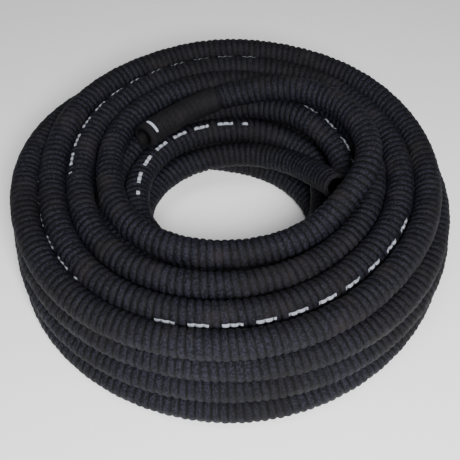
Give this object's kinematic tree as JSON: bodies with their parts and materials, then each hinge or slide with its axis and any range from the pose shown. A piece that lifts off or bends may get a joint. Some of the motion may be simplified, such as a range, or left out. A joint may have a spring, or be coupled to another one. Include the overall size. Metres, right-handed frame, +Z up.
{
  "type": "vapor hose coil",
  "caption": "Loosely wound coil of black wire-ribbed rubber fuel vapour hose, with its two bare cut ends lying on the turns.",
  "frame": {"origin": "on the floor, at the middle of the coil's footprint", "axes": "+Z up along the coil's axis, +X to the right and +Y to the back as the coil is seen from the front"},
  "size_m": [0.4212, 0.4212, 0.1268],
  "materials": {
    "hose_rubber": "matt"
  },
  "bodies": {
    "root": {"hose_coil": "hose_rubber", "outer_end": "hose_rubber", "inner_end": "hose_rubber"}
  },
  "joints": []
}
